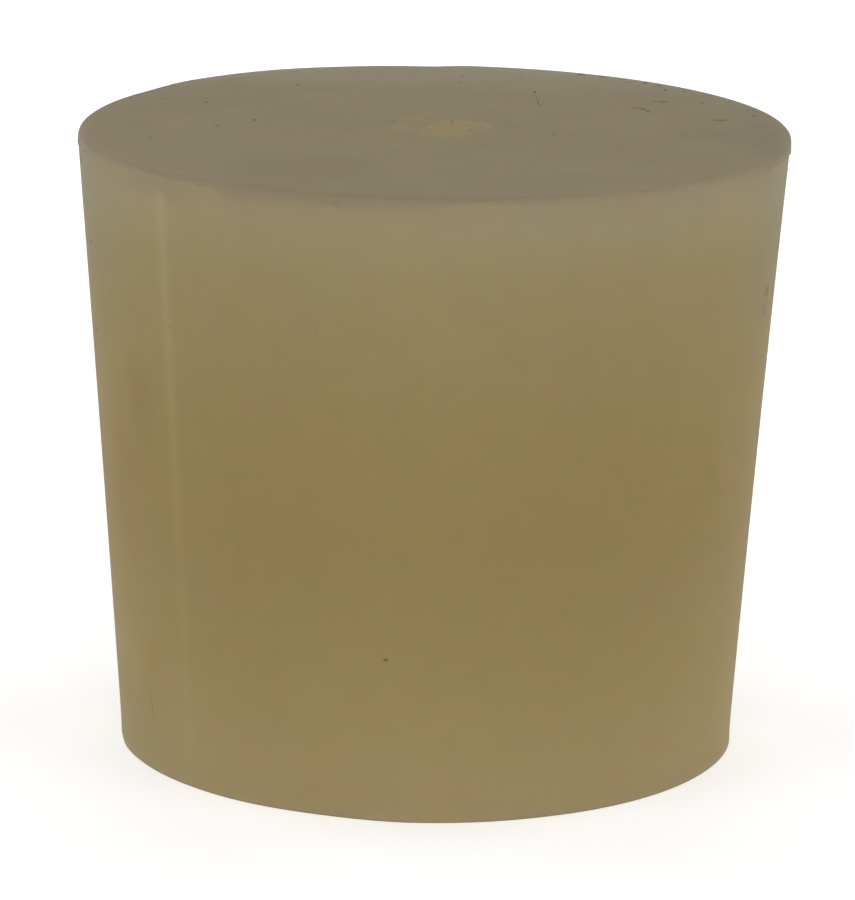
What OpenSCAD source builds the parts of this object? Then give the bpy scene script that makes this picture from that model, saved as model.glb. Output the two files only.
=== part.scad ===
// Solid tapered laboratory stopper in natural rubber, compression moulded in one piece.
// The wall was formed in the mould's cavity and the rim in its lid. The two meet at the parting
// line just under the wide end, where the flash was torn off and left a ragged edge.
// The stopper stands on its small end. The origin is the middle of the small end's face, and
// +Z runs up the axis to the wide end.

/* [Plug] */
// Diameter of the wide end, across its rim
large_d = 28.6; // [26:0.1:48]
// Diameter of the small end, at the foot of the wall
small_d = 25; // [12:0.1:30]
// Height over both ends
height = 25.2; // [12:0.1:50]

/* [Wall] */
// How far the wall draws in at half height, from the rubber's shrinkage
wall_hollow = 0.05; // [0:0.01:0.3]
// Radius of the edge round the small end
foot_r = 0.1; // [0.05:0.01:1]

/* [Rim] */
// Depth of the parting line below the wide end's face
rim_h = 0.55; // [0.3:0.05:2]
// How far the rim stands out past the top of the wall
rim_step = 0.05; // [0.02:0.01:0.3]
// Radius of the shoulder round the wide end's face
shoulder_r = 0.35; // [0.1:0.05:1.5]

/* [Flash] */
// Width of the flash left on the rim where it tore furthest out
flash_w = 0.08; // [0.03:0.01:0.4]
// Thickness of the flash
flash_t = 0.06; // [0.03:0.01:0.2]
// Tears round the rim
flash_tears = 31; // [9:1:45]

/* [Gate mark] */
// Diameter of the scar in the middle of the wide end, where the rubber was fed in
gate_d = 2.6; // [1:0.1:5]
// Depth of the scar
gate_depth = 0.06; // [0.02:0.01:0.3]

/* [Hidden] */
$fn = 180;

// The rim is a plain cylinder as far as its shoulder, which ends above the flash.
rim_r = large_d / 2;
shoulder = min(shoulder_r, rim_h - flash_t);
parting_z = height - rim_h;

// The wall's straight line runs from the small end to just inside the rim at the parting line.
wall_foot_r = small_d / 2;
wall_top_r = rim_r - rim_step;
wall_bands = 12;
band_h = parting_z / wall_bands;

// The foot's edge is an arc that touches the small end's face and the wall's lowest band.
foot_edge = min(foot_r, band_h / 2);
foot_slope = atan((wall_r(1 / wall_bands) - wall_foot_r) / band_h);
foot_centre = wall_foot_r - foot_edge * (1 - sin(foot_slope)) / cos(foot_slope);

// The torn edge has this many points to each tear.
points_per_tear = 6;
flash_points = flash_tears * points_per_tear;

// The scar is a cap cut by a ball that touches down in the middle of the face.
gate_ball_r = (pow(gate_d / 2, 2) + pow(gate_depth, 2)) / (2 * gate_depth);

// Radius of the wall at a share t of the way up to the parting line: its straight line, less a
// parabola that is deepest at half height.
function wall_r(t) = wall_foot_r + (wall_top_r - wall_foot_r) * t - 4 * wall_hollow * t * (1 - t);

// How much of the flash is left at angle a, from 0, torn flush, to 1: long waves where the flash
// pulled away, and a short one for the separate tears.
function flash_left(a) =
    0.5 + 0.22 * sin(3 * a + 40) + 0.12 * sin(8 * a + 200) + 0.16 * sin(flash_tears * a);

// Half section of the cavity's part of the stopper, from the small end to the parting line.
module wall_section() {
    polygon(concat(
        [[0, 0], [foot_centre, 0]],
        [[foot_centre + foot_edge * cos(foot_slope), foot_edge * (1 - sin(foot_slope))]],
        [for (i = [1 : wall_bands]) [wall_r(i / wall_bands), i * band_h]],
        [[0, parting_z]]
    ));
    translate([foot_centre, foot_edge])
        circle(r = foot_edge);
}

// Half section of the lid's part, from the parting line to the wide end's face.
module rim_section() {
    polygon([
        [0, parting_z],
        [rim_r, parting_z],
        [rim_r, height - shoulder],
        [rim_r - shoulder, height],
        [0, height]
    ]);
    translate([rim_r - shoulder, height - shoulder])
        intersection() {
            circle(r = shoulder);
            square(shoulder);
        }
}

// Thin sheet in the parting line, whose ragged edge is what was left when the flash was torn off.
module flash() {
    translate([0, 0, parting_z])
        linear_extrude(height = flash_t)
            polygon([
                for (i = [0 : flash_points - 1])
                    let (a = 360 * i / flash_points)
                        (rim_r + flash_w * flash_left(a)) * [cos(a), sin(a)]
            ]);
}

// Shallow scar left in the wide end's face.
module gate_mark() {
    translate([0, 0, height + gate_ball_r - gate_depth])
        sphere(r = gate_ball_r);
}

module stopper() {
    color([0.60, 0.54, 0.40])
        difference() {
            union() {
                rotate_extrude() {
                    wall_section();
                    rim_section();
                }
                flash();
            }
            gate_mark();
        }
}

stopper();
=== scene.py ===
import math

import bpy
import numpy as np
from mathutils import Matrix, Vector


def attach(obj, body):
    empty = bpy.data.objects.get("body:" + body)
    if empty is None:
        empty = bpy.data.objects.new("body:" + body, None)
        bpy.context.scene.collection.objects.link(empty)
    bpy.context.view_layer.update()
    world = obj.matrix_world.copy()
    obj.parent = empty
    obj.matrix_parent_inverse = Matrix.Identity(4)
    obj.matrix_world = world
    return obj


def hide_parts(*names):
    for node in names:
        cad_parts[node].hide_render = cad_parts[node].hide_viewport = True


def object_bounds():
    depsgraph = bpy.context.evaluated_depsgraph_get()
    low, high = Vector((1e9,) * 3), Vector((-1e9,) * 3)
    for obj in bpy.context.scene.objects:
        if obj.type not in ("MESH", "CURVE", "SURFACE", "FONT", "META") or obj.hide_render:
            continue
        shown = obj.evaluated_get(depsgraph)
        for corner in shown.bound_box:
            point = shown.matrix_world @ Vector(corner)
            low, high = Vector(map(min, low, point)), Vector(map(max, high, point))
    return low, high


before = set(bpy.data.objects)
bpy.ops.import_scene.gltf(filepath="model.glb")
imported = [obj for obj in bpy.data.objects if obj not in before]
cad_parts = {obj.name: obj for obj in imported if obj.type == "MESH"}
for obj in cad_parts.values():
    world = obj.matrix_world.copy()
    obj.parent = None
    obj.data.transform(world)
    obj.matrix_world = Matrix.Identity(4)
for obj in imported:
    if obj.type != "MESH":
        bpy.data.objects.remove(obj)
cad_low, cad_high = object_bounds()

# A solid gum rubber stopper, moulded in one piece, on a pale floor in soft studio light.
# Lengths are in millimetres up to the point where a mesh or an object is made.
# Azimuths are in degrees from +X, against the clock seen from above, and -90 faces the camera.
MM = 0.001

# The stopper's own sizes. The height comes from the frame, and the radii of the small end and the
# rim repeat its values.
HEIGHT = cad_high.z / MM
SMALL_R = 12.5
RIM_R = 14.3
# Radius of the edge round the foot.
FOOT_EDGE = 0.04
# Radius at which the wall is unrolled flat to place its marks.
UNROLLED_R = 13.4

# Grid of the moulding: columns round the axis, and rings along each stretch of its profile.
COLUMNS = 1024
FOOT_RINGS = 2
FOOT_EDGE_RINGS = 5
WALL_RINGS = 20
LIP_RINGS = 4
LAND_RINGS = 5
SHOULDER_RINGS = 14
FACE_RINGS = 8
SCAR_RINGS = 34
# Radius inside which the rings lie close, for the scar.
SCAR_REACH = 3.4

# How far the torn parting line lies below the wide end's face, round the rim.
PARTING_DEPTH = [(-180, 0.65), (-172, 0.6), (-163, 0.4), (-155, 0.27), (-148, 0.24), (-130, 0.25),
                 (-127, 0.32), (-122, 0.52), (-113, 0.5), (-104, 0.48), (-97, 0.44), (-90, 0.34),
                 (-83, 0.25), (-62, 0.26), (-50, 0.27), (-42, 0.45), (-34, 0.55), (-26, 0.53),
                 (-20, 0.41), (-12, 0.49), (0, 0.6), (60, 0.5), (120, 0.58)]
# How much of the face's grey is left at the parting line, and how far it blurs across it.
RIM_GREY = [(-180, 0.9), (-52, 0.9), (-42, 0.1), (-35, 0.1), (-29, 0.4), (-22, 0.8), (-14, 0.8),
            (0, 0.7), (60, 0.7), (120, 0.8)]
RIM_BLUR = [(-180, 0.4), (-156, 0.35), (-149, 0.04), (-129, 0.05), (-122, 0.3), (-110, 0.33),
            (-106, 0.08), (-103, 0.2), (-97, 0.33), (-88, 0.2), (-80, 0.08), (-66, 0.18),
            (-50, 0.2), (-40, 0.3), (-32, 0.12), (-27, 0.03), (-10, 0.03), (5, 0.25), (90, 0.3)]
# How far the shoulder's rounding reaches in from the rim.
SHOULDER_IN = [(-180, 0.42), (-160, 0.3), (-150, 0.15), (-128, 0.15), (-118, 0.35), (-90, 0.5),
               (-70, 0.3), (-56, 0.1), (-42, 0.3), (-20, 0.25), (0, 0.11), (5, 0.155), (20, 0.13),
               (60, 0.1), (70, 0.08), (84, 0.1), (91, 0.5), (100, 0.3), (120, 0.08), (136, 0.2),
               (150, 0.6), (165, 0.55)]
# How far it reaches down from the face, and the most of the parting line's depth it may take.
SHOULDER_DOWN = [(-180, 0.45), (-160, 0.25), (-150, 0.1), (-128, 0.1), (-118, 0.2), (-90, 0.15),
                 (-56, 0.08), (-42, 0.2), (-20, 0.25), (0, 0.25), (30, 0.2), (60, 0.1), (84, 0.08),
                 (92, 0.25), (120, 0.06), (150, 0.4)]
SHOULDER_SHARE = 0.9
# How far the rim stands out past the top of the wall.
RIM_PROUD = [(-180, 0.022), (-150, 0.01), (-40, 0.01), (0, 0.06), (60, 0.05), (140, 0.03)]
# How far the wall draws in at half height, how far its foot spreads again, and the height over
# which that spread dies away.
WALL_HOLLOW = [(-180, 0.018), (-90, 0.045), (0, 0.052), (90, 0.045)]
FOOT_SPREAD = [(-180, 0.02), (-172, 0.03), (-164, 0.09), (-154, 0.07), (-130, 0.03), (-110, -0.04),
               (-92, 0.12), (-80, 0.09), (-68, 0.03), (-30, 0.04), (-12, 0.06), (0, 0.03), (90, 0.03)]
FOOT_SPREAD_HEIGHT = 0.3
# How far the tears move the parting line up and down, and how far the torn lip stands out on
# average and rises.
TEAR_DEPTH = 0.025
LIP_OUT = 0.006
LIP_RISE = 0.01
# Degrees of lean from the face after which most of a surface's colour is that of an upright one. This
# change of colour with lean is painted light.
UPRIGHT_LEAN = 22
# The gate scar's thin raised skin: its middle, its half sizes and its rise.
SKIN_AT = (0.5, -0.9)
SKIN_HALF = (1.2, 1.9)
SKIN_RISE = 0.012


# ---------------------------------------------------------------- shape

def round_the_axis(azimuths, stations):
    """A value that changes smoothly round the axis: periodic smooth-step interpolation between listed
    stations, each an azimuth in degrees and a value."""
    angles = np.array([s[0] for s in stations], float)
    values = np.array([s[1] for s in stations], float)
    angles = np.append(angles, angles[0] + 360)
    values = np.append(values, values[0])
    at = (np.degrees(azimuths) - angles[0]) % 360 + angles[0]
    k = np.clip(np.searchsorted(angles, at, side="right") - 1, 0, len(stations) - 1)
    t = (at - angles[k]) / (angles[k + 1] - angles[k])
    return values[k] + (values[k + 1] - values[k]) * t * t * (3 - 2 * t)


def waves(azimuths, terms):
    """A sum of sines round the axis. Each term is (waves in a turn, size, phase in degrees)."""
    total = np.zeros_like(azimuths)
    for count, size, phase in terms:
        total = total + size * np.sin(count * azimuths + math.radians(phase))
    return total


def tears(azimuths):
    """The torn edge's ups and downs, about -1 to 1: three uneven counts of short waves, with
    their crests sharpened."""
    saw = waves(azimuths, [(89, 0.5, 10), (143, 0.35, 80), (211, 0.25, 200)])
    return np.sign(saw) * np.abs(saw) ** 0.8


def scar(x, y):
    """Height of the gate scar's skin over the face, in millimetres: a flat oval whose outline
    wavers round its middle, with a smooth step up from the outline inwards."""
    across = (x - SKIN_AT[0]) / SKIN_HALF[0]
    back = (y - SKIN_AT[1]) / SKIN_HALF[1]
    turn = np.arctan2(back, across)
    outline = 1 + 0.1 * np.sin(3 * turn + 1) + 0.07 * np.sin(7 * turn + 2)
    t = np.clip((outline - np.hypot(across, back)) / 0.2, 0, 1)
    return SKIN_RISE * t * t * (3 - 2 * t)


def moulding():
    """The whole stopper as rings from the small end's middle to the wide end's middle. Each ring
    is a radius and a height for every azimuth. Going up: the flat small end, a small arc, the
    wall, the torn lip of the parting line, the lid's upright land, a quarter-oval shoulder and
    the flat wide end. Returns azimuths, radii, heights, how much each ring belongs to the lid and
    stands upright, and the parting line's depth."""
    a = np.linspace(0, 2 * np.pi, COLUMNS, endpoint=False)
    tear = tears(a)
    depth = round_the_axis(a, PARTING_DEPTH) + TEAR_DEPTH * tear
    parting = HEIGHT - depth
    reach_in = round_the_axis(a, SHOULDER_IN)
    reach_down = np.minimum(round_the_axis(a, SHOULDER_DOWN), SHOULDER_SHARE * depth)
    wall_top = RIM_R - round_the_axis(a, RIM_PROUD)
    hollow = round_the_axis(a, WALL_HOLLOW)
    spread = round_the_axis(a, FOOT_SPREAD)
    radii, heights, lid, upright = [], [], [], []

    def ring(r, z, share=0.0, lean=90.0):
        """Adds a ring: its radius and height, its share of the lid, and its lean in degrees."""
        radii.append(np.broadcast_to(r, a.shape))
        heights.append(np.broadcast_to(z, a.shape))
        lid.append(np.broadcast_to(share, a.shape))
        upright.append(np.broadcast_to(1 - math.exp(-lean / UPRIGHT_LEAN), a.shape))

    def wall_radius(z):
        """A straight taper, less a parabola deepest at half height, with a spread at the foot."""
        share = z / parting
        straight = SMALL_R + (wall_top - SMALL_R) * share
        return straight - 4 * hollow * share * (1 - share) + spread * np.exp(-z / FOOT_SPREAD_HEIGHT)

    inner = wall_radius(0) - FOOT_EDGE
    for f in np.linspace(0, 1, FOOT_RINGS + 1)[1:]:
        ring(inner * f, 0)
    for q in np.linspace(0, np.pi / 2, FOOT_EDGE_RINGS + 1)[1:]:
        ring(inner + FOOT_EDGE * np.sin(q), FOOT_EDGE * (1 - np.cos(q)))
    # The wall's rings lie closer towards its two ends.
    for t in np.linspace(0, 1, WALL_RINGS + 1)[1:]:
        z = FOOT_EDGE + (parting - FOOT_EDGE) * (3 * t * t - 2 * t ** 3) ** 0.8
        ring(wall_radius(z), z)
    lip = LIP_OUT * (1 + tear)
    for t in np.linspace(0, 1, LIP_RINGS + 1)[1:]:
        ring(wall_top + (RIM_R + lip - wall_top) * t, parting + LIP_RISE * t, t)
    land_foot = parting + LIP_RISE
    land_top = HEIGHT - reach_down
    for t in np.linspace(0, 1, LAND_RINGS + 1)[1:]:
        ring(RIM_R + lip * (1 - t) ** 2, land_foot + (land_top - land_foot) * t, 1)
    for q in np.linspace(0, np.pi / 2, SHOULDER_RINGS + 1)[1:]:
        ring(RIM_R - reach_in * (1 - np.cos(q)), land_top + reach_down * np.sin(q), 1,
             90 - math.degrees(q))
    for f in np.linspace(0, 1, FACE_RINGS + 1)[1:]:
        ring((RIM_R - reach_in) * (1 - f) + SCAR_REACH * f, HEIGHT, 1, 0)
    for f in np.linspace(1, 0, SCAR_RINGS + 1)[1:-1]:
        ring(SCAR_REACH * f, HEIGHT, 1, 0)
    return a, np.array(radii), np.array(heights), np.array(lid), np.array(upright), depth


def closed_mesh(name, x, y, z, low_pole, high_pole):
    """A mesh of rings closed by a fan at each pole. x, y and z are arrays (rings, columns), in
    millimetres, and the faces point outwards for rings that go up and round against the clock."""
    rings, columns = x.shape
    points = np.stack([x, y, z], axis=-1).reshape(-1, 3)
    points = np.concatenate([points, [low_pole, high_pole]]) * MM
    i, j = np.meshgrid(np.arange(rings - 1), np.arange(columns), indexing="ij")
    after = (j + 1) % columns
    quads = np.stack([i * columns + j, i * columns + after, (i + 1) * columns + after,
                      (i + 1) * columns + j], axis=-1).reshape(-1, 4)
    j = np.arange(columns)
    after = (j + 1) % columns
    low, high = rings * columns, rings * columns + 1
    last = (rings - 1) * columns
    bottom = np.stack([np.full(columns, low), after, j], axis=-1)
    top = np.stack([last + j, last + after, np.full(columns, high)], axis=-1)
    mesh = bpy.data.meshes.new(name)
    mesh.from_pydata(points.tolist(), [], quads.tolist() + bottom.tolist() + top.tolist())
    mesh.shade_smooth()
    mesh.update()
    piece = bpy.data.objects.new(name, mesh)
    bpy.context.scene.collection.objects.link(piece)
    return piece


def paint(piece, name, values, low_pole, high_pole):
    """Stores one number per vertex of a closed mesh, for its material to read."""
    layer = piece.data.attributes.new(name, "FLOAT", "POINT")
    layer.data.foreach_set("value", np.append(values.ravel(), [low_pole, high_pole]))


# ---------------------------------------------------------------- materials

class Nodes:
    """Short ways to add nodes to a tree. A value or a colour may be a number, a tuple or another
    node's output."""

    def __init__(self, tree):
        self.tree = tree

    def put(self, value, socket):
        if isinstance(value, bpy.types.NodeSocket):
            self.tree.links.new(value, socket)
        else:
            socket.default_value = value

    def add(self, kind, **settings):
        node = self.tree.nodes.new("ShaderNode" + kind)
        for key, value in settings.items():
            setattr(node, key, value)
        return node

    def math(self, operation, *values):
        node = self.add("Math", operation=operation)
        for k, value in enumerate(values):
            self.put(value, node.inputs[k])
        return node.outputs[0]

    def vector_math(self, operation, *values):
        node = self.add("VectorMath", operation=operation)
        for k, value in enumerate(values):
            self.put(value, node.inputs[k])
        return node.outputs["Value" if operation in ("LENGTH", "DOT_PRODUCT") else "Vector"]

    def apart(self, vector):
        """The three parts of a place."""
        node = self.add("SeparateXYZ")
        self.put(vector, node.inputs[0])
        return node.outputs

    def flat(self, across, up):
        """A place on a flat map."""
        node = self.add("CombineXYZ")
        self.put(across, node.inputs[0])
        self.put(up, node.inputs[1])
        return node.outputs[0]

    def attribute(self, name):
        return self.add("Attribute", attribute_name=name).outputs["Fac"]

    def scaled(self, vector, factor):
        node = self.add("VectorMath", operation="SCALE")
        self.put(vector, node.inputs[0])
        self.put(factor, node.inputs["Scale"])
        return node.outputs["Vector"]

    def turned(self, vector, centre, degrees):
        """A place turned round an upright line through a centre."""
        node = self.add("VectorRotate", rotation_type="Z_AXIS")
        self.put(vector, node.inputs["Vector"])
        node.inputs["Center"].default_value = centre
        node.inputs["Angle"].default_value = math.radians(degrees)
        return node.outputs["Vector"]

    def mix(self, share, first, second, blend="MIX"):
        node = self.add("Mix", data_type="RGBA", blend_type=blend)
        self.put(share, node.inputs["Factor"])
        self.put(first, node.inputs["A"])
        self.put(second, node.inputs["B"])
        return node.outputs["Result"]

    def tint(self, share, colour, tint):
        """A colour multiplied by a tint, as far as the share says."""
        return self.mix(share, colour, tint, "MULTIPLY")

    def range(self, value, low, high, to_low=0.0, to_high=1.0, smooth=True):
        """A value carried from one range to another. A smooth step stops at its ends unclamped."""
        node = self.add("MapRange", interpolation_type="SMOOTHSTEP" if smooth else "LINEAR")
        node.clamp = not smooth
        for k, v in enumerate((value, low, high, to_low, to_high)):
            self.put(v, node.inputs[k])
        return node.outputs["Result"]

    def clouds(self, place, scale, detail=2.0, roughness=0.5):
        """A node of cloudy noise in waves of about 1 / scale, grey from 0 to 1 and in colours."""
        node = self.add("TexNoise")
        self.put(place, node.inputs["Vector"])
        node.inputs["Scale"].default_value = scale
        node.inputs["Detail"].default_value = detail
        node.inputs["Roughness"].default_value = roughness
        return node

    def noise(self, place, scale, detail=2.0, roughness=0.5):
        return self.clouds(place, scale, detail, roughness).outputs["Fac"]

    def shifted(self, place, scale, size):
        """A place on a flat map, shifted by clouds by up to about half of size to each side."""
        clouds = self.clouds(place, scale, 3.0).outputs["Color"]
        centred = self.vector_math("SUBTRACT", clouds, (0.5, 0.5, 0.5))
        shift = self.vector_math("MULTIPLY", centred, (size, size, 0.0))
        return self.vector_math("ADD", place, shift)

    def ramp(self, value, stops):
        """A colour that runs smoothly through stops, each a share and a colour."""
        node = self.add("ValToRGB")
        self.put(value, node.inputs["Fac"])
        ramp = node.color_ramp
        ramp.interpolation = "CARDINAL"
        ramp.elements[0].position, ramp.elements[0].color = stops[0][0], (*stops[0][1], 1)
        ramp.elements[1].position, ramp.elements[1].color = stops[-1][0], (*stops[-1][1], 1)
        for share, colour in stops[1:-1]:
            ramp.elements.new(share).color = (*colour, 1)
        return node.outputs["Color"]


# The wall's colour from the small end up, by the share of the height. Part of it is painted light:
# its paleness towards both ends is partly the rubber's own tone and partly painted light, the sharp
# rise in paleness over the lowest 0.6 mm cancels the floor's shadow at the foot, and the darker top
# just under the rim is painted shade.
WALL_COLOURS_AND_LIGHT = [(0.0, (0.41, 0.312, 0.17)), (0.006, (0.372, 0.281, 0.143)),
                (0.013, (0.332, 0.251, 0.122)), (0.025, (0.311, 0.236, 0.113)),
                (0.05, (0.303, 0.231, 0.108)), (0.1, (0.294, 0.225, 0.1)),
                (0.2, (0.278, 0.211, 0.087)), (0.36, (0.257, 0.19, 0.077)),
                (0.5, (0.2536, 0.1866, 0.0711)), (0.7, (0.255, 0.194, 0.082)),
                (0.87, (0.264, 0.207, 0.102)), (0.94, (0.271, 0.221, 0.121)),
                (0.97, (0.262, 0.212, 0.122)), (1.0, (0.245, 0.198, 0.121))]
# The face's two mottled colours, the bloom towards its edge, its back painted paler as painted light,
# the scar, and the upright part of the rim.
FACE_COLOURS = [(0.233, 0.189, 0.096, 1), (0.246, 0.2, 0.104, 1)]
FACE_BLOOM = (0.232, 0.192, 0.107, 1)
FACE_BACK_LIGHT = (0.277, 0.239, 0.148, 1)
SCAR_COLOUR = (0.274, 0.214, 0.085, 1)
# The rim's grey is partly the rubber's own tone and partly a painted reflection that stands in for
# the face's grazing gloss on upright surfaces.
RIM_TONE_AND_GLOSS = (0.212, 0.177, 0.113, 1)
# Dirt on the wall and on the face.
WALL_DIRT = (0.07, 0.07, 0.04, 1)
FACE_DIRT = (0.03, 0.03, 0.005, 1)
# Azimuth, half width and tint of a pale stripe up the wall, a painted reflection of a strip light. A
# tint multiplies what is under it.
REFLECTION_AT = -137.8
REFLECTION_HALF = 0.5
REFLECTION_TINT = (1.21, 1.29, 1.43, 1)

# Marks on the wall. Each is an azimuth, a height, a half width and a half height in millimetres,
# a turn in degrees and a strength.
WALL_SPECKS = [(-97.0, 6.68, 0.13, 0.1, 10, 0.75), (-108.3, 19.7, 0.12, 0.1, 0, 0.12),
               (-137.0, 19.0, 0.14, 0.12, 0, 0.16), (-165.8, 21.0, 0.3, 0.1, 0, 0.6),
               (-167.2, 17.38, 0.3, 0.09, 0, 0.5), (-8.0, 21.2, 0.9, 0.16, 0, 0.4),
               (-170.5, 24.12, 0.6, 0.16, 0, 0.6), (38, 9.2, 0.12, 0.1, 0, 0.5),
               (71, 17.6, 0.08, 0.08, 0, 0.6), (112, 4.8, 0.14, 0.1, 20, 0.4),
               (127, 20.3, 0.07, 0.07, 0, 0.6)]
WALL_SCUFFS = [(-149.6, 2.65, 0.12, 1.1, 12, 0.4), (-80.8, 20.4, 0.6, 0.4, 0, 0.1),
               (-34.4, 13.1, 0.6, 0.5, 0, 0.1), (-27.1, 1.85, 0.09, 0.27, 0, 0.3),
               (-123.6, 10.63, 0.13, 1.2, -30, 0.14), (-119.3, 11.07, 0.13, 0.95, 45, 0.14),
               (-116.0, 6.4, 0.45, 0.12, -35, 0.15), (-16.6, 19.55, 0.46, 0.42, 10, 0.75),
               (-17.3, 18.8, 0.42, 0.38, 0, 0.5), (58, 6.1, 0.1, 0.7, 20, 0.25),
               (96, 12.8, 0.5, 0.1, -25, 0.2), (146, 15.5, 0.3, 0.4, 0, 0.3)]
SCUFF_TINT = (0.75, 0.6, 0.5, 1)
# Broad warmer areas on the wall.
WALL_WARM = [(-154, 12.5, 2.2, 5.5, 0, 0.5), (-36, 13.0, 2.0, 4.0, 0, 0.3),
             (-147, 15.5, 1.6, 3.0, 0, 0.8), (-149, 4.2, 1.6, 3.0, 0, 0.6)]
WARM_TINT = (0.97, 0.9, 0.82, 1)
# Broad duller areas. The upper part of the back is as dull.
WALL_DULL = [(-160, 1.5, 5.0, 3.5, 0, 0.4), (-147, 15.5, 1.8, 3.2, 0, 0.3)]
DULL_TINT = (0.86, 0.92, 0.97, 1)
# A broad area with a pale bloom.
WALL_BLOOM = [(-58, 24.4, 9.0, 1.8, 0, 1.0)]
BLOOM_TINT = (0.98, 1.02, 1.07, 1)
# A cooler area at the top of the wall. The top of the back is as cool.
WALL_COOL = [(-139, 24.5, 2.8, 0.7, 0, 1.0)]
COOL_TINT = (0.92, 0.97, 1.03, 1)
# Painted shade on parts of the rim's upright land, and a warmer area of it, given as marks on the
# wall.
LAND_SHADE = [(-148, 24.97, 5.0, 0.2, 0, 1.0), (-177, 24.85, 2.8, 0.33, 0, 1.0)]
LAND_SHADE_TINT = (0.93, 0.96, 0.97, 1)
LAND_WARM = [(-16, 24.92, 4.0, 0.25, 0, 1.0)]
LAND_WARM_TINT = (1.01, 0.94, 0.9, 1)
# Nicks and dents along the rim, given the same way.
RIM_NICKS = [(-104.8, 24.86, 0.3, 0.12, 0, 0.25), (-63.8, 25.05, 0.25, 0.05, 0, 0.4),
             (-55.8, 25.08, 0.35, 0.08, 0, 0.4), (-8.8, 24.72, 0.1, 0.1, 0, 0.4)]
NICK_TINT = (0.75, 0.72, 0.7, 1)
# Marks on the wide end's face. Each is x, y, two half sizes, a turn and a strength.
FACE_SPECKS = [(-9.36, 4.65, 0.1, 0.26, -20, 0.65), (-9.15, 4.98, 0.13, 0.1, 0, 0.3),
               (-7.28, 0.95, 0.08, 0.3, 0, 0.65), (-6.57, 4.0, 0.06, 0.2, 0, 0.4),
               (-8.73, -0.42, 0.15, 0.25, 0, 0.35), (-11.25, -3.2, 0.16, 0.4, 0, 0.22),
               (4.71, -1.15, 0.1, 0.3, 0, 0.3), (0.68, 1.2, 0.12, 0.55, 0, 0.23),
               (-1.65, 1.06, 0.13, 0.12, 0, 0.6), (1.42, -0.7, 0.14, 0.35, 0, 0.18),
               (4.14, 8.1, 0.07, 0.45, 5, 0.65), (4.19, 6.9, 0.03, 0.8, 4, 0.5),
               (4.24, 5.7, 0.04, 0.6, -4, 0.7), (4.31, 5.1, 0.13, 0.12, -30, 0.6),
               (8.28, 4.87, 0.36, 0.14, -10, 0.5), (8.55, 4.62, 0.2, 0.16, -20, 0.8),
               (8.72, 4.25, 0.11, 0.2, -25, 0.9), (9.15, 6.4, 0.24, 0.14, 0, 0.5),
               (9.4, 6.36, 0.26, 0.18, -8, 0.7), (9.61, 9.1, 0.07, 0.3, 0, 0.75),
               (11.02, 6.2, 0.05, 0.3, 0, 0.7), (11.12, 7.85, 0.12, 0.12, -10, 0.4),
               (11.48, 2.42, 0.28, 0.2, -4, 0.5), (11.68, 2.42, 0.26, 0.22, 0, 0.5),
               (13.0, 3.5, 0.12, 0.2, 0, 0.6), (13.1, 4.5, 0.06, 0.16, 0, 0.35),
               (1.05, 10.1, 0.16, 0.2, 0, 0.3), (-12.3, 6.3, 0.12, 0.3, 0, 0.5),
               (-10.92, 8.5, 0.08, 0.2, 0, 0.35), (8.16, 10.8, 0.26, 0.2, -15, 0.4),
               (8.8, 10.6, 0.2, 0.2, -15, 0.65), (9.36, 10.05, 0.25, 0.25, -25, 0.4),
               (6.19, 12.42, 0.25, 0.22, -12, 0.55), (7.08, 11.92, 0.3, 0.2, -15, 0.5),
               (10.41, 8.8, 0.12, 0.12, -10, 0.5), (11.42, 7.9, 0.12, 0.15, 0, 0.4),
               (13.4, -0.7, 0.2, 0.15, 0, 0.2), (1.16, 11.66, 0.16, 0.25, 0, 0.25),
               (0.21, 10.77, 0.12, 0.3, 0, 0.12), (3.63, 12.14, 0.05, 0.5, 0, 0.2),
               (-5.72, 8.96, 0.12, 0.3, 0, 0.35), (-11.21, 5.28, 0.12, 0.3, 0, 0.2),
               (-5.36, 3.45, 0.05, 0.2, 0, 0.35), (2.03, 10.22, 0.2, 0.6, 0, 0.1),
               (3.15, 10.13, 0.15, 0.3, 0, 0.1), (-0.35, 1.9, 0.2, 0.7, -15, 0.12)]
# Lighter specks beside some of them, where a crumb catches the light.
FACE_GLINTS = [(-9.45, 5.1, 0.08, 0.2, 0, 0.5), (-7.22, 0.2, 0.08, 0.2, 0, 0.4),
               (-8.86, -0.85, 0.1, 0.2, 0, 0.5), (-5.4, 3.3, 0.06, 0.15, 0, 0.4)]
# Broad darker areas on the face.
FACE_SHADES = [(-4.9, 8.1, 2.0, 0.8, -4, 0.35), (-5.2, -8.8, 3.2, 4.0, 0, 0.3),
               (3.0, 0.3, 0.6, 1.6, 0, 0.25), (10.6, -0.8, 2.2, 1.9, -10, 0.35),
               (-6.0, -12.0, 3.0, 1.6, 25, 0.25), (4.6, -9.0, 0.5, 1.0, 0, 0.15),
               (-7.5, -1.0, 3.0, 4.0, 0, 0.12), (6.5, -3.0, 4.0, 4.0, 0, 0.12)]
SHADE_TINT = (0.84, 0.8, 0.76, 1)
# A broad cooler area at its right edge.
FACE_COOL = [(13.5, -1.5, 2.7, 6.5, 0, 1.0), (13.2, 4.4, 1.9, 3.6, 20, 0.8)]
FACE_COOL_TINT = (0.86, 0.93, 0.96, 1)
# A dimmer area at its back, and the tint of its back edge, a painted bluish glare of the white
# surround.
FACE_DIM = [(7.6, 12.3, 3.5, 1.6, -30, 1.0)]
DIM_TINT = (0.9, 0.94, 0.98, 1)
BACK_EDGE_GLARE_TINT = (0.95, 1.02, 1.13, 1)
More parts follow.
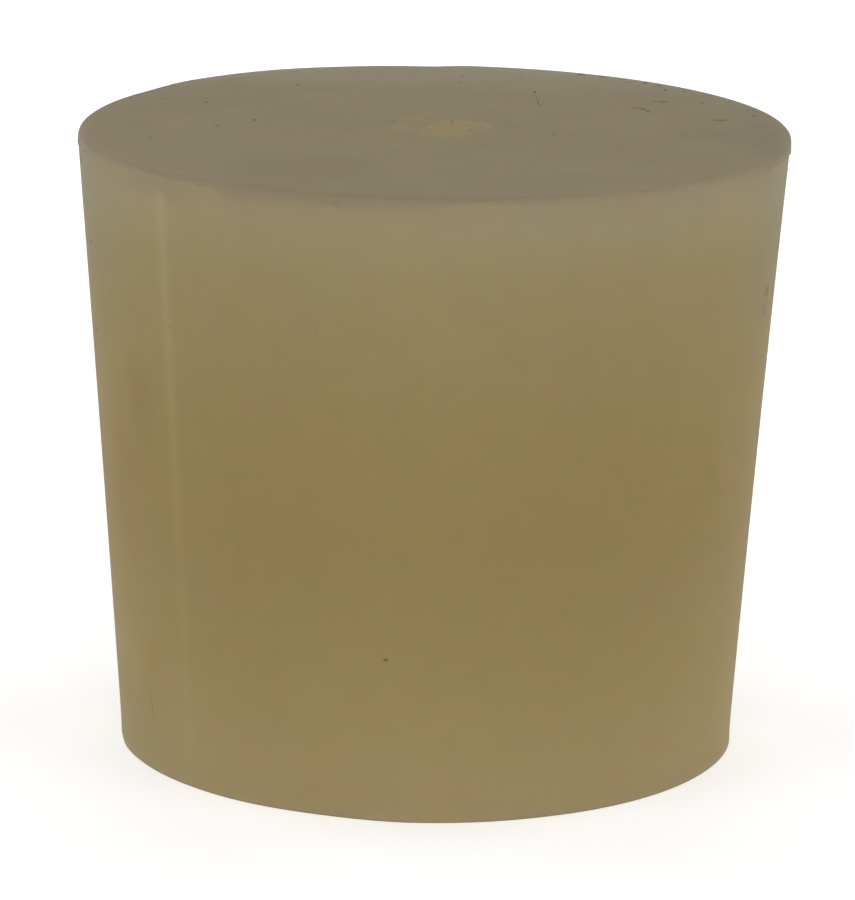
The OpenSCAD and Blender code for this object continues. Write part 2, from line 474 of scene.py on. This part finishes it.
# Where the gate scar is yellow.
SCAR_YELLOW = [(0.55, -0.55, 1.76, 3.8, 0, 1.0), (1.7, 0.35, 0.98, 1.6, 0, 0.65),
               (-1.47, -0.25, 0.5, 1.5, 0, 0.8), (-1.9, -1.6, 0.4, 1.2, 0, 0.7),
               (-0.7, 1.7, 0.85, 1.6, -15, 0.7), (-1.0, 0.3, 1.0, 2.6, 0, 0.55)]
# Small painted highlights on and round it, and the tint of all such glints.
SCAR_GLINTS = [(-0.17, -0.1, 0.22, 0.4, 0, 0.5), (-0.45, -1.4, 0.2, 0.4, 0, 0.4),
               (-1.35, 1.75, 0.16, 0.2, 0, 0.6), (2.16, 0.4, 0.2, 0.5, 0, 0.4),
               (1.42, 0.97, 0.6, 0.22, 0, 0.35)]
GLINT_TINT = (1.25, 1.22, 1.25, 1)


def spots(n, place, marks, soft):
    """How strongly a flat map is marked: the strongest of a list of ovals, each of which falls
    smoothly to 0 at its outline, from the share of its reach that isn't soft."""
    total = 0.0
    for x, y, half_x, half_y, turn, strength in marks:
        upright = n.turned(place, (x, y, 0), -turn) if turn else place
        oval = n.vector_math("MULTIPLY_ADD", upright, (1 / half_x, 1 / half_y, 0),
                             (-x / half_x, -y / half_y, 0))
        reach = n.vector_math("LENGTH", oval)
        total = n.math("MAXIMUM", total, n.range(reach, 1 - soft, 1.0, strength, 0.0))
    return total


def on_wall(marks):
    """The same marks, placed by how far round the unrolled wall they are."""
    return [(UNROLLED_R * math.radians(m[0] + 90),) + m[1:] for m in marks]


# In the colours below, the ends of a range of y, z or radius are in millimetres.

def wall_colour(n, unrolled, along, y, z):
    """Olive tan that changes up the wall, partly as painted light, tinted by broad areas, with a
    painted reflection of a strip light that fades downwards, and with scuffs and specks."""
    # This ramp holds painted light: a paler foot against the floor's shadow, and painted shade at the
    # top under the rim.
    colour = n.ramp(n.range(z, 0.0, HEIGHT, smooth=False), WALL_COLOURS_AND_LIGHT)
    colour = n.tint(spots(n, unrolled, on_wall(WALL_WARM), 0.9), colour, WARM_TINT)
    upper_back = n.math("MULTIPLY", n.range(y, -9.5, -2.5), n.range(z, 15.5, 21.0))
    dull = n.math("MAXIMUM", spots(n, unrolled, on_wall(WALL_DULL), 0.7), upper_back)
    colour = n.tint(dull, colour, DULL_TINT)
    colour = n.tint(spots(n, unrolled, on_wall(WALL_BLOOM), 0.7), colour, BLOOM_TINT)
    top_back = n.math("MULTIPLY", n.range(y, -4.5, -1.5), n.range(z, 21.5, 24.0, 0.0, 0.8))
    cool = n.math("MAXIMUM", top_back, spots(n, unrolled, on_wall(WALL_COOL), 0.7))
    colour = n.tint(cool, colour, COOL_TINT)
    # A painted reflection of a strip light: a pale stripe that fades downwards.
    reflection_along = UNROLLED_R * math.radians(REFLECTION_AT + 90)
    aside = n.math("ABSOLUTE", n.math("SUBTRACT", along, reflection_along))
    rising = n.math("MULTIPLY", n.range(z, 0.0, HEIGHT, 0.08, 0.5, smooth=False),
                    n.range(z, 24.0, 24.6, 1.0, 0.0))
    reflection = n.math("MULTIPLY", n.range(aside, 0.0, REFLECTION_HALF, 1.0, 0.0), rising)
    colour = n.tint(reflection, colour, REFLECTION_TINT)
    colour = n.tint(spots(n, unrolled, on_wall(WALL_SCUFFS), 0.9), colour, SCUFF_TINT)
    return n.mix(spots(n, unrolled, on_wall(WALL_SPECKS), 0.7), colour, WALL_DIRT)


def face_colour(n, place, plan, radius, y, scarred):
    """Grey tan in two clouded shades, with a bloom towards its edge, a back painted paler as painted
    light, darker areas, the rim's grey near its edge as painted shade, and a painted bluish glare
    along its back edge. The yellow gate scar, painted glints and specks lie over it."""
    clouds = n.noise(place, 0.16, 3.0, 0.6)
    colour = n.mix(n.range(clouds, 0.35, 0.65), FACE_COLOURS[0], FACE_COLOURS[1])
    colour = n.mix(n.range(radius, 9.0, 14.0, 0.0, 0.6), colour, FACE_BLOOM)
    # Painted light: the face's back is painted paler.
    colour = n.mix(n.range(y, 7.0, 13.0, 0.0, 0.6), colour, FACE_BACK_LIGHT)
    shades = spots(n, n.shifted(plan, 0.6, 1.2), FACE_SHADES, 0.9)
    colour = n.tint(shades, colour, SHADE_TINT)
    # Painted shade: near the edge, except at the back, the rim's grey is mixed in to darken the face.
    front_edge_shade = n.math("MULTIPLY", n.range(radius, 12.9, 14.2, 0.0, 0.6),
                        n.range(y, 8.5, 12.5, 1.0, 0.0))
    colour = n.mix(front_edge_shade, colour, RIM_TONE_AND_GLOSS)
    # Painted bluish glare along the face's back edge.
    back_edge_glare = n.math("MULTIPLY", n.range(radius, 12.8, 14.1), n.range(y, 3.0, 7.0))
    colour = n.tint(back_edge_glare, colour, BACK_EDGE_GLARE_TINT)
    colour = n.tint(spots(n, plan, FACE_DIM, 0.9), colour, DIM_TINT)
    colour = n.mix(scarred, colour, SCAR_COLOUR)
    # Painted highlights: glints beside crumbs and on the scar.
    colour = n.tint(spots(n, plan, FACE_GLINTS + SCAR_GLINTS, 0.8), colour, GLINT_TINT)
    colour = n.mix(spots(n, plan, FACE_SPECKS, 0.6), colour, FACE_DIRT)
    # Over the shoulder it is painted a little lighter, as painted light where the face's grazing
    # gloss fades, and then it turns into the rim's grey, which is partly the rubber's own and partly
    # a painted stand-in for that gloss.
    upright = n.attribute("upright")
    colour = n.scaled(colour, n.range(upright, 0.35, 0.8, 1.0, 1.04))
    colour = n.mix(n.range(upright, 0.35, 1.0), colour, RIM_TONE_AND_GLOSS)
    return n.tint(spots(n, plan, FACE_COOL, 0.9), colour, FACE_COOL_TINT)


def rim_share(n, radius, z):
    """How much of the face's colour is left: from the face, over the shoulder and down past the
    parting line, its grey thins out, and then it gives way to the wall's colour."""
    parting = n.attribute("parting")
    blur = n.attribute("rim_blur")
    down = n.math("SUBTRACT", n.math("ADD", radius, HEIGHT - RIM_R), z)
    thin = n.range(down, -0.15, parting, 1.0, n.attribute("rim_grey"), smooth=False)
    gone = n.range(down, n.math("SUBTRACT", parting, blur), n.math("ADD", parting, blur), 1.0, 0.0)
    return n.math("MULTIPLY", thin, gone)


def gum_rubber():
    """Waxy, slightly translucent rubber: olive tan at mid-height and paler towards both ends of the
    wall, partly as painted light, with a faint painted reflection of a strip light up it, and greyer
    on the lid's side of the parting line, partly as a painted stand-in for the face's grazing gloss,
    round a yellowish gate scar. Specks of dirt, lint and scuffs lie on it, with painted highlights
    and painted shade in places."""
    material = bpy.data.materials.new("gum_rubber")
    material.use_nodes = True
    n = Nodes(material.node_tree)
    shader = material.node_tree.nodes["Principled BSDF"]

    # Places in millimetres: in space, on the face's plan, and on the wall unrolled flat.
    place = n.vector_math("MULTIPLY", n.add("TexCoord").outputs["Object"], (1 / MM,) * 3)
    x, y, z = n.apart(place)
    plan = n.flat(x, y)
    radius = n.vector_math("LENGTH", plan)
    along = n.math("MULTIPLY", n.math("ARCTAN2", x, n.math("MULTIPLY", y, -1.0)), UNROLLED_R)
    unrolled = n.flat(along, z)
    # The mottling is drawn out along Y, from front to back.
    drawn = n.vector_math("MULTIPLY", place, (1, 0.4, 1))
    mottling = n.clouds(drawn, 0.7, 3.0, 0.6)
    mottle = mottling.outputs["Fac"]

    scarred = n.math("ADD", spots(n, n.shifted(plan, 1.0, 0.5), SCAR_YELLOW, 0.8),
                     n.range(n.noise(drawn, 1.6, 3.0, 0.6), 0.3, 0.7, -0.3, 0.1))
    scarred = n.range(scarred, 0.05, 0.85)
    wall = wall_colour(n, unrolled, along, y, z)
    face = face_colour(n, place, plan, radius, y, scarred)
    colour = n.mix(rim_share(n, radius, z), wall, face)
    # Painted shade on parts of the rim's upright land.
    colour = n.tint(spots(n, unrolled, on_wall(LAND_SHADE), 0.5), colour, LAND_SHADE_TINT)
    colour = n.tint(spots(n, unrolled, on_wall(LAND_WARM), 0.5), colour, LAND_WARM_TINT)
    colour = n.tint(spots(n, unrolled, on_wall(RIM_NICKS), 0.8), colour, NICK_TINT)
    # The mottling tinges each of red, green and blue by up to 6 percent either way.
    tinge = n.vector_math("MULTIPLY_ADD", mottling.outputs["Color"], (0.12,) * 3, (0.94,) * 3)
    n.put(n.vector_math("MULTIPLY", colour, tinge), shader.inputs["Base Color"])

    # The lid's side is duller than the wall, and both are a little uneven.
    roughness = n.range(n.attribute("lid"), 0.0, 1.0, 0.5, 0.7)
    n.put(n.math("ADD", roughness, n.range(mottle, 0.3, 0.7, -0.05, 0.05)),
          shader.inputs["Roughness"])
    # A fine grain over the mottling, with the scar smoother and a little sunk.
    bump = n.add("Bump")
    bump.inputs["Strength"].default_value = 0.4
    bump.inputs["Distance"].default_value = 0.012 * MM
    relief = n.math("ADD", n.noise(place, 9.0), n.math("MULTIPLY", mottle, 2.0))
    relief = n.math("SUBTRACT", relief, n.math("MULTIPLY", scarred, 2.0))
    n.put(relief, bump.inputs["Height"])
    n.put(bump.outputs["Normal"], shader.inputs["Normal"])

    shader.subsurface_method = "BURLEY"
    shader.inputs["Subsurface Weight"].default_value = 1.0
    shader.inputs["Subsurface Radius"].default_value = (1.0, 0.7, 0.35)
    shader.inputs["Subsurface Scale"].default_value = 1.5 * MM
    shader.inputs["Specular IOR Level"].default_value = 0.0
    shader.inputs["Coat Weight"].default_value = 0.19
    shader.inputs["Coat Roughness"].default_value = 0.25
    return material


# ---------------------------------------------------------------- the stopper

def make_stopper():
    """The moulding with the scar's skin on its face, the numbers that its material reads, and its
    rubber."""
    a, r, z, lid, upright, depth = moulding()
    x, y = r * np.cos(a), r * np.sin(a)
    face = slice(1 - FACE_RINGS - SCAR_RINGS, None)
    z[face] += scar(x[face], y[face])
    piece = closed_mesh("stopper_body", x, y, z, (0, 0, 0), (0, 0, HEIGHT + float(scar(0.0, 0.0))))
    paint(piece, "lid", lid, 0, 1)
    paint(piece, "upright", upright, 1, 0)
    paint(piece, "parting", np.broadcast_to(depth, r.shape), 1, 1)
    paint(piece, "rim_grey", np.broadcast_to(round_the_axis(a, RIM_GREY), r.shape), 0, 0)
    paint(piece, "rim_blur", np.broadcast_to(round_the_axis(a, RIM_BLUR), r.shape), 0.1, 0.1)
    piece.data.materials.append(gum_rubber())
    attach(piece, "root")
    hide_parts("stopper")


# ---------------------------------------------------------------- camera, floor and light

# Strength of the world as light, and of the floor's own glow where it is seen.
WORLD_LIGHT = 0.4
FLOOR_GLOW = 0.4


def make_camera():
    """The camera stands in front of and above the stopper, aims near its middle and is turned a
    little about its own line of sight."""
    distance = 215.45
    elevation = math.radians(14.012)
    roll = math.radians(0.8855)
    aim_left, aim_drop = 0.090, 0.7765
    middle = HEIGHT / 2
    place = Vector((0, -distance * math.cos(elevation), middle + distance * math.sin(elevation)))
    aim = Vector((-aim_left, 0, middle - aim_drop))
    turn = (aim - place).to_track_quat("-Z", "Y").to_matrix() @ Matrix.Rotation(roll, 3, "Z")
    data = bpy.data.cameras.new("camera")
    data.lens = 211.64
    data.sensor_width = 36
    data.clip_start = 0.01
    data.clip_end = 10
    camera = bpy.data.objects.new("camera", data)
    bpy.context.scene.collection.objects.link(camera)
    camera.matrix_world = Matrix.Translation(place * MM) @ turn.to_4x4()
    bpy.context.scene.camera = camera


def seen_directly(n):
    """1 for rays from the camera, from a gloss or through glass, and 0 for light that falls on a
    surface."""
    path = n.add("LightPath")
    first = n.math("MAXIMUM", path.outputs["Is Camera Ray"], path.outputs["Is Glossy Ray"])
    return n.math("MAXIMUM", first, path.outputs["Is Transmission Ray"])


def make_floor():
    """A flat square, 6 m across, pale and without gloss."""
    half = 3.0
    mesh = bpy.data.meshes.new("floor")
    corners = [(-half, -half, 0), (half, -half, 0), (half, half, 0), (-half, half, 0)]
    mesh.from_pydata(corners, [], [(0, 1, 2, 3)])
    floor = bpy.data.objects.new("floor", mesh)
    bpy.context.scene.collection.objects.link(floor)
    material = bpy.data.materials.new("floor")
    material.use_nodes = True
    n = Nodes(material.node_tree)
    shader = material.node_tree.nodes["Principled BSDF"]
    shader.inputs["Base Color"].default_value = (0.8, 0.8, 0.8, 1)
    shader.inputs["Roughness"].default_value = 1.0
    shader.inputs["Specular IOR Level"].default_value = 0.0
    shader.inputs["Emission Color"].default_value = (1, 1, 1, 1)
    n.put(n.math("MULTIPLY", seen_directly(n), FLOOR_GLOW), shader.inputs["Emission Strength"])
    floor.data.materials.append(material)


def make_world():
    """A white surround that lights less than it shows."""
    world = bpy.data.worlds.new("studio")
    world.use_nodes = True
    bpy.context.scene.world = world
    n = Nodes(world.node_tree)
    background = world.node_tree.nodes["Background"]
    background.inputs["Color"].default_value = (1, 1, 1, 1)
    strength = n.range(seen_directly(n), 0.0, 1.0, WORLD_LIGHT, 1.0, smooth=False)
    n.put(strength, background.inputs["Strength"])


def soft_light(name, place, size, power):
    """An area light that faces the stopper's middle."""
    data = bpy.data.lights.new(name, "AREA")
    data.shape = "RECTANGLE"
    data.size, data.size_y = size[0] * MM, size[1] * MM
    data.energy = power
    lamp = bpy.data.objects.new(name, data)
    bpy.context.scene.collection.objects.link(lamp)
    lamp.visible_glossy = False
    lamp.location = Vector(place) * MM
    aim = Vector((0, 0, HEIGHT / 2)) - Vector(place)
    lamp.rotation_euler = aim.to_track_quat("-Z", "Y").to_euler()


def make_lights():
    """A ring of wide soft boxes, low round the stopper."""
    distance, height, size, power = 320, 110, (220, 120), 0.32
    for azimuth in range(-90, 270, 60):
        across = Vector((math.cos(math.radians(azimuth)), math.sin(math.radians(azimuth)), 0))
        soft_light("soft_box_%d" % azimuth, across * distance + Vector((0, 0, height)), size, power)


make_camera()
make_world()
make_floor()
make_lights()
make_stopper()

bpy.context.scene.view_settings.view_transform = "Standard"
